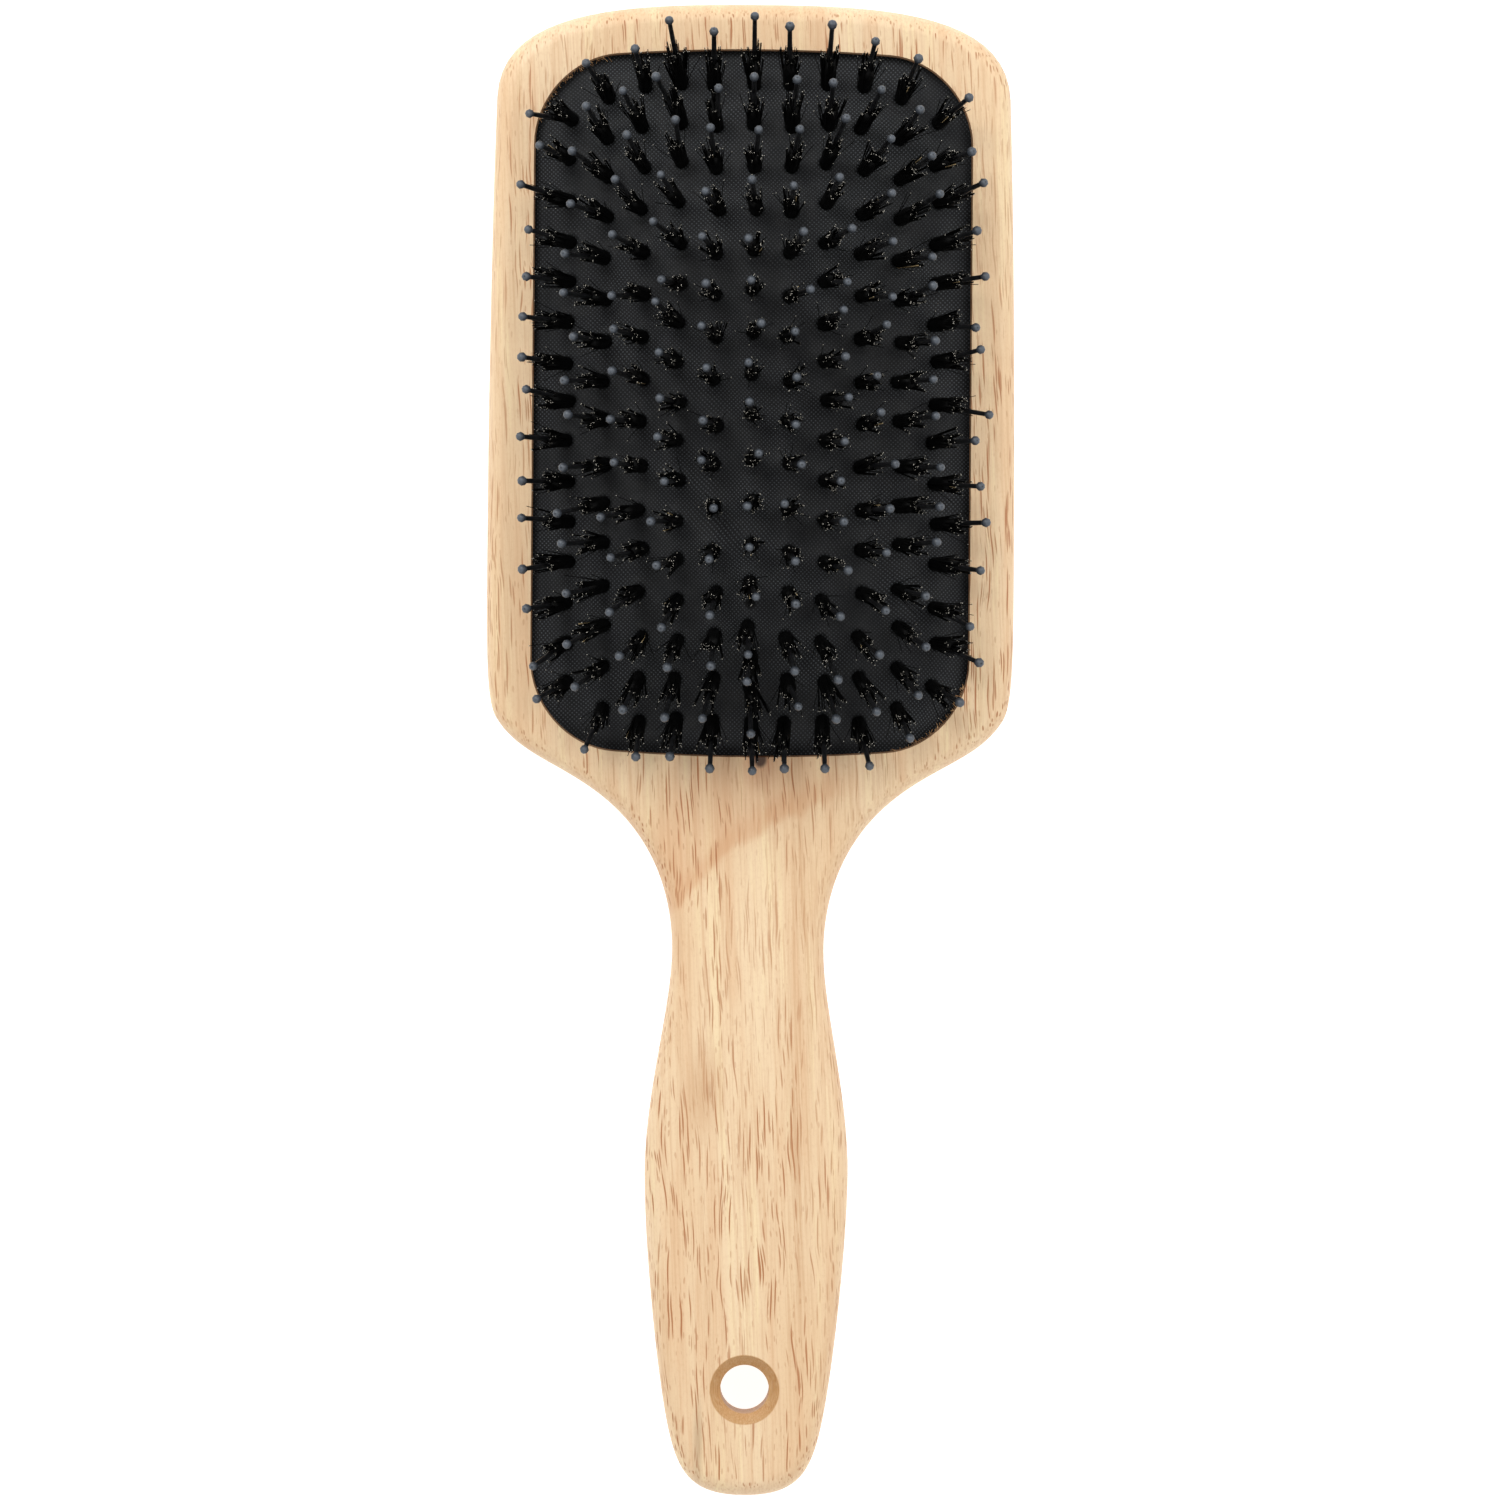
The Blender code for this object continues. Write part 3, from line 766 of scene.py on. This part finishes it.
def ball_material():
    made, tree, shader, mm = new_material("nylon_ball")
    cloud = noise(tree, mm, 1.1, 3.0)
    colour = mix(tree, ramp(tree, cloud, 0.35, 0.65), tint(38, 42, 48), tint(52, 57, 64))
    # Painted highlight: each ball's top is painted lighter, as the overhead light makes it look
    colour = mix(tree, ramp(tree, stored(tree, "painted_ball_highlight"), 0.55, 0.95, 0.0, 0.55), colour, tint(94, 101, 110))
    gate = ramp(tree, stored(tree, "gate"), 0.45, 0.75)
    colour = mix(tree, times(tree, gate, 0.75), colour, tint(34, 35, 38))
    relief = plus(tree, cloud, times(tree, gate, -1.5))
    feed(tree, shader, Base_Color=colour, Roughness=0.45, Normal=bumped(tree, relief, 0.03 * MM, 0.5))
    return made


def bristle_material():
    made, tree, shader, mm = new_material("bristle")
    along = noise(tree, mm, 2.0, 2.0)
    colour = mix(tree, ramp(tree, along, 0.35, 0.7), tint(1, 1, 1), tint(5, 5, 5))
    colour = mix(tree, stored(tree, "pale"), colour, tint(188, 166, 124))
    # Painted highlight: cut ends that catch the light are painted as pale specks
    colour = mix(tree, ramp(tree, stored(tree, "tip_highlight"), 0.3, 0.95), colour, tint(240, 234, 220))
    feed(tree, shader, Base_Color=colour, Roughness=0.6, Specular_IOR_Level=0.12)
    return made


stem = stem_material()
ball = ball_material()
bristle = bristle_material()
print("nylon and bristle materials made")

# %% [markdown]
# ## A hair and a quill
# A hair is a three-sided tube that follows a bent path, closed at both ends. Thousands are needed, so it
# has very few faces. A quill is a turned rod with a ball, and needs only a few dozen faces because its stem
# is under a millimetre across.


# %%
HAIR_SIDES = 3
HAIR_TAPER = 0.1
SPECK_LENGTH = 0.12 * MM


def frame_on(axis):
    side = axis.cross(Vector((0, 1, 0)) if abs(axis.y) < 0.9 else Vector((1, 0, 0))).normalized()
    return side, axis.cross(side).normalized()


def join_rings(bm, rings):
    """Walls from ring to ring, and a cap under the first."""
    sides = len(rings[0])
    for low, high in zip(rings, rings[1:]):
        for corner in range(sides):
            after = (corner + 1) % sides
            bm.faces.new((low[corner], low[after], high[after], high[corner]))
    bm.faces.new(list(reversed(rings[0])))


def around(side, up, turn):
    """The direction at an angle round an axis, given the two directions across it."""
    return side * math.cos(turn) + up * math.sin(turn)


def add_hair(bm, layers, path, radius, speck, pale):
    """One closed thin tube along a path; the last stretch is short so that only the cut end carries the
    painted highlight speck.
    """
    tip_highlight_layer, pale_layer = layers
    end = path[-1]
    before = end - (end - path[-2]).normalized() * SPECK_LENGTH
    stops = path[:-1] + [before, end]
    rings = []
    for index, stop in enumerate(stops):
        after = stops[min(index + 1, len(stops) - 1)]
        back = stops[max(index - 1, 0)]
        side, up = frame_on((after - back).normalized())
        size = radius * (1 - HAIR_TAPER * index / (len(stops) - 1))
        ring = []
        for corner in range(HAIR_SIDES):
            turn = math.tau * corner / HAIR_SIDES
            vert = bm.verts.new(stop + side * size * math.cos(turn) + up * size * math.sin(turn))
            vert[tip_highlight_layer] = speck if index == len(stops) - 1 else 0.0
            vert[pale_layer] = pale
            ring.append(vert)
        rings.append(ring)
    join_rings(bm, rings)
    bm.faces.new(rings[-1])


def bent_path(start, direction, length, sag, steps=3):
    """Points along a hair that leaves in one direction and curves towards sag."""
    points = []
    for step in range(steps + 1):
        share = step / steps
        points.append(start + direction * length * share + sag * share * share)
    return points


QUILL_SIDES = 8
BALL_STEPS = 5
SUNK = 1.2 * MM
FOOT_RADIUS, STEM_RADIUS, NECK_RADIUS = 0.48 * MM, 0.47 * MM, 0.39 * MM


def quill_shape(length, radius, gate):
    """A quill standing on the origin, its foot sunk in the rubber: a tapered stem and a ball."""
    middle_z = length - radius
    neck_z = middle_z - 1.4 * radius
    stem_part = [(0, -SUNK), (FOOT_RADIUS, -SUNK), (STEM_RADIUS, 0), (NECK_RADIUS, neck_z)]
    join = math.asin(NECK_RADIUS / radius)
    ball_part = []
    for step in range(BALL_STEPS):
        turn = (math.pi - join) * (1 - step / BALL_STEPS)
        ball_part.append((radius * math.sin(turn), middle_z + radius * math.cos(turn)))
    bm = turned(stem_part + ball_part + [(0, length)], QUILL_SIDES)
    gate_layer = bm.verts.layers.float.new("gate")
    ball_highlight_layer = bm.verts.layers.float.new("painted_ball_highlight")
    for vert in bm.verts:
        # How far up the ball a point is, used for the painted highlight on the ball's top
        vert[ball_highlight_layer] = max(0.0, (vert.co.z - middle_z) / radius)
        if vert.co.z > length - SAME_PLACE:
            vert[gate_layer] = gate
    for face in bm.faces:
        if min(vert.co.z for vert in face.verts) >= ball_part[0][1] - SAME_PLACE:
            face.material_index = 1
    return bm


print("hair and quill shapes ready")

# %% [markdown]
# ## Quills
# One piece for each CAD run of quills, on the same body. No two real quills point quite the same way, so
# each gets a small tilt of its own from a seeded random source.

# %%
random.seed(41)
# How far a tuft strays from its due direction in degrees, and then its quill and its bristles from that
TUFT_STRAY, QUILL_STRAY, BRISTLE_STRAY = 2.0, 3.2, 2.0
GATE_SHARE = 0.35
LENGTH_SPREAD = 0.5 * MM
BALL_SPREAD = 0.05


def tilted(axis, degrees):
    side, up = frame_on(axis)
    turn = random.uniform(0, math.tau)
    amount = math.radians(random.gauss(0, degrees))
    return (axis + around(side, up, turn) * math.tan(amount)).normalized()


def root_of(x, y):
    return Vector((x, y + PAD_Y, RIM_TOP + DOME * dome_share(x, y)))


def join_in(bm, part, place):
    bmesh.ops.transform(part, matrix=place, verts=part.verts[:])
    mesh = bpy.data.meshes.new("part")
    part.to_mesh(mesh)
    part.free()
    bm.from_mesh(mesh)
    bpy.data.meshes.remove(mesh)


leans = {}
for key, places in runs.items():
    bm = bmesh.new()
    bm.verts.layers.float.new("gate")
    bm.verts.layers.float.new("painted_ball_highlight")
    for x, y in places:
        leans[(x, y)] = tilted(lean_at(x, y), TUFT_STRAY)
        axis = tilted(leans[(x, y)], QUILL_STRAY)
        turn = Vector((0, 0, 1)).rotation_difference(axis).to_matrix().to_4x4()
        spin = Matrix.Rotation(random.uniform(0, math.tau), 4, "Z")
        gate = 1.0 if random.random() < GATE_SHARE else 0.0
        length = QUILL_LENGTH - random.uniform(0, LENGTH_SPREAD)
        shape = quill_shape(length, BALL_RADIUS + random.uniform(-BALL_SPREAD, BALL_SPREAD) * MM, gate)
        join_in(bm, shape, Matrix.Translation(root_of(x, y)) @ turn @ spin)
    quills = finished(bm, f"pins_{key}", [stem, ball])
    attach(quills, carrier(key))
    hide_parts(f"quills_{key}")
print("quills made:", len(roots))

# %% [markdown]
# ## Bristle tufts
# A real tuft is a pinch of bristles folded round its anchor, so it leaves the rubber tight and splays
# towards the tips. Within a tuft the bristles gather in uneven clumps and end at different heights. A few
# break away.

# %%
CLUMPS = 15
HAIRS_IN_CLUMP = 4
STRAYS = 4
HAIR_RADIUS = 0.09 * MM
STRAY_RADIUS = HAIR_RADIUS * 0.8
STRAY_FOOT = 0.7 * MM
TUFT_SUNK = 0.5 * MM
# Share of hairs that are pale, and how far each clump's hairs reach as a share of the tuft
PALE_SHARE = 0.004
CLUMP_REACHES = (0.72, 0.84, 0.93, 1.0)
# How bright a cut end's painted highlight speck is
TIP_HIGHLIGHTS, STRAY_TIP_HIGHLIGHTS = (0.0, 0.45, 0.6, 0.8), (0.0, 0.9)
# The solid core: share of the tuft's length and radius in mm of each ring, and where its top stands
CORE_SIDES = 9
CORE_RINGS = ((0.0, 1.15), (0.4, 1.26), (0.68, 0.9))
CORE_TOP = 0.5
hair_total = 0


def add_core(bm, root, axis):
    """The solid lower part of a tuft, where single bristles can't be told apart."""
    side, up = frame_on(axis)
    rings = []
    for height, radius in CORE_RINGS:
        ring = []
        for corner in range(CORE_SIDES):
            turn = math.tau * corner / CORE_SIDES
            size = radius * random.uniform(0.88, 1.08) * MM
            rise = TUFT_LENGTH * height * (random.uniform(0.8, 1.2) if height > CORE_TOP else 1.0)
            ring.append(bm.verts.new(root + axis * rise + around(side, up, turn) * size))
        rings.append(ring)
    join_rings(bm, rings)
    top = bm.verts.new(root + axis * TUFT_LENGTH * CORE_TOP)
    for corner in range(CORE_SIDES):
        bm.faces.new((rings[-1][corner], rings[-1][(corner + 1) % CORE_SIDES], top))


for key, places in runs.items():
    bm = bmesh.new()
    layers = (bm.verts.layers.float.new("tip_highlight"), bm.verts.layers.float.new("pale"))
    for x, y in places:
        axis = tilted(leans[(x, y)], BRISTLE_STRAY)
        side, up = frame_on(axis)
        root = root_of(x, y) - axis * TUFT_SUNK
        add_core(bm, root, axis)
        for clump in range(CLUMPS):
            turn = math.tau * (clump + random.uniform(-0.4, 0.4)) / CLUMPS
            out = random.uniform(0.3, 0.95) * MM
            spread_out = random.uniform(0.0, 0.08) * out / (0.6 * MM) + abs(random.gauss(0, 0.025))
            skew = random.gauss(0, 0.03)
            reach = TUFT_LENGTH * random.choice(CLUMP_REACHES) * random.uniform(0.96, 1.02)
            bend = (side * random.gauss(0, 0.1) + up * random.gauss(0, 0.1)) * MM
            for _ in range(HAIRS_IN_CLUMP):
                near = random.uniform(0, math.tau)
                off = random.uniform(0.05, 0.24) * MM
                foot_x = out * math.cos(turn) + off * math.cos(near)
                foot_y = out * math.sin(turn) + off * math.sin(near)
                tilt_x = spread_out * math.cos(turn) - skew * math.sin(turn) + random.gauss(0, 0.012)
                tilt_y = spread_out * math.sin(turn) + skew * math.cos(turn) + random.gauss(0, 0.012)
                direction = (axis + side * tilt_x + up * tilt_y).normalized()
                start = root + side * foot_x + up * foot_y
                speck = random.choice(TIP_HIGHLIGHTS)
                pale = 1.0 if random.random() < PALE_SHARE else 0.0
                path = bent_path(start, direction, reach * random.uniform(0.9, 1.0), bend)
                add_hair(bm, layers, path, HAIR_RADIUS, speck, pale)
        for _ in range(STRAYS):
            turn = random.uniform(0, math.tau)
            loose = random.uniform(0.1, 0.3)
            outward = around(side, up, turn)
            direction = (axis + outward * loose).normalized()
            length = TUFT_LENGTH * random.uniform(0.6, 0.95)
            sag = side * random.gauss(0, 0.4) * MM
            path = bent_path(root + outward * STRAY_FOOT, direction, length, sag)
            add_hair(bm, layers, path, STRAY_RADIUS, random.choice(STRAY_TIP_HIGHLIGHTS), 0.0)
        hair_total += CLUMPS * HAIRS_IN_CLUMP + STRAYS
    tuft = finished(bm, f"hairs_{key}", [bristle])
    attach(tuft, carrier(key))
    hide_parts(f"bristles_{key}")
print("hairs made:", hair_total)

# %% [markdown]
# ## Torn wood fibres
# A router turns against the grain at two opposite corners of the pocket and leaves a fuzz of fibres there.
# They are short thin hairs on the pocket's edge that point into the opening.

# %%
FIBRES = 90
FIBRE_RADIUS = 0.05 * MM
FIBRE_SUNK = 0.15 * MM
FUZZ_REACH = 8 * MM
# How far in from the pad's square corner the middle of its rounded one is, as a share of the corner's radius
CORNER_INSET = 0.36

fibre, tree, shader, mm = new_material("torn_fibre")
shade = ramp(tree, noise(tree, mm, 1.5), 0.35, 0.65)
feed(tree, shader, Base_Color=mix(tree, shade, tint(150, 106, 66), tint(206, 164, 118)), Roughness=0.8)
bm = bmesh.new()
layers = (bm.verts.layers.float.new("tip_highlight"), bm.verts.layers.float.new("pale"))
edge_points = pad_outline(0, 60)
for corner_x, corner_y in ((-1, 1), (1, -1)):
    middle_point = Vector((
        corner_x * (PAD_HALF_X - CORNER_INSET * PAD_CORNER),
        PAD_Y + corner_y * (PAD_HALF_Y - CORNER_INSET * PAD_CORNER),
    ))
    close = [point for point in edge_points if (Vector(point) - middle_point).length < FUZZ_REACH]
    for _ in range(FIBRES):
        point = Vector(random.choice(close))
        inward = (Vector((0, PAD_Y + corner_y * RIDGE)) - point).normalized()
        skew = random.gauss(0, 0.7)
        rise = random.uniform(-0.5, 0.2)
        direction = Vector((inward.x - inward.y * skew, inward.y + inward.x * skew, rise)).normalized()
        start = Vector((point.x, point.y, FACE - random.uniform(0.02, 1.1) * MM)) - direction * FIBRE_SUNK
        length = random.uniform(0.25, 0.95) * MM
        sag = Vector((random.gauss(0, 0.15), random.gauss(0, 0.15), -0.1)) * MM
        add_hair(bm, layers, bent_path(start, direction, length, sag, 2), FIBRE_RADIUS, 0.0, 0.0)
fuzz = finished(bm, "torn_fibres", [fibre])
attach(fuzz, "brush_body")
print("torn fibres:", len(fuzz.data.polygons), "faces")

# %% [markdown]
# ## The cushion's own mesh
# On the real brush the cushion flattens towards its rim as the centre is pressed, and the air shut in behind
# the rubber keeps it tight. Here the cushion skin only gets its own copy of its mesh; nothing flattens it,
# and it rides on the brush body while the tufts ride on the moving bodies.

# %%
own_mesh(cushion)

# %% [markdown]
# ## Floor, light and camera
# The brush lies on a plain white table under large soft lights and is seen from straight above with a long
# lens, which keeps its outline true. The lens is turned a fraction of a degree, as a hand-laid object would
# be.

# %%
WHITE = (1.0, 1.0, 1.0, 1.0)
FLOOR_SIZE = 4.0
FLOOR_DROP = 0.2 * MM
LIGHTS_AIM = Vector((0, 0.02, 0))
# Strength of the white sky for lighting, and how much is added where the camera sees it
SKY, SKY_SEEN = 0.5, 0.6

floor_material, tree, shader, mm = new_material("floor")
cloud = noise(tree, stretch(tree, mm, 0.01, 0.01, 0.01), 1.0)
feed(
    tree,
    shader,
    Base_Color=mix(tree, cloud, tint(186, 186, 186), tint(190, 190, 190)),
    Roughness=0.9,
    Emission_Color=WHITE,
    Emission_Strength=0.9,
)
bm = bmesh.new()
bmesh.ops.create_grid(bm, x_segments=1, y_segments=1, size=FLOOR_SIZE)
bmesh.ops.translate(bm, verts=bm.verts[:], vec=(0, 0, wood_low.z - FLOOR_DROP))
floor = finished(bm, "floor", [floor_material])


def soft_light(name, place, size, power):
    data = bpy.data.lights.new(name, "AREA")
    data.shape = "DISK"
    data.size = size
    data.energy = power
    light = bpy.data.objects.new(name, data)
    light.location = place
    light.rotation_mode = "QUATERNION"
    light.rotation_quaternion = (LIGHTS_AIM - Vector(place)).to_track_quat("-Z", "Y")
    bpy.context.scene.collection.objects.link(light)


soft_light("light_key", (-0.4, 0.6, 0.75), 0.7, 6.0)
soft_light("light_fill", (0.7, 0.35, 0.8), 0.9, 4.0)
soft_light("light_low", (0.1, -0.9, 0.7), 0.8, 1.9)

world = bpy.data.worlds.new("studio")
world.use_nodes = True
tree = world.node_tree
# The sky lights the brush softly but looks as white as the floor, so a low view has no grey wall behind it
seen = wire(tree, "ShaderNodeLightPath").outputs["Is Camera Ray"]
feed(tree, tree.nodes["Background"], Color=WHITE, Strength=plus(tree, times(tree, seen, SKY_SEEN), SKY))
bpy.context.scene.world = world
bpy.context.scene.view_settings.view_transform = "Standard"

DISTANCE = 1.5
FRAME_WIDTH = 0.2461
CAMERA_SHIFT = 0.13 * MM
CAMERA_ROLL = math.radians(0.42)
camera_data = bpy.data.cameras.new("camera")
camera_data.sensor_width = 36.0
camera_data.lens = camera_data.sensor_width * DISTANCE / FRAME_WIDTH
camera_data.clip_start = 0.05
camera = bpy.data.objects.new("camera", camera_data)
camera.location = (CAMERA_SHIFT, 0.0, FACE + DISTANCE)
camera.rotation_euler = (0, 0, CAMERA_ROLL)
bpy.context.scene.collection.objects.link(camera)
bpy.context.scene.camera = camera
print("lights and camera set")
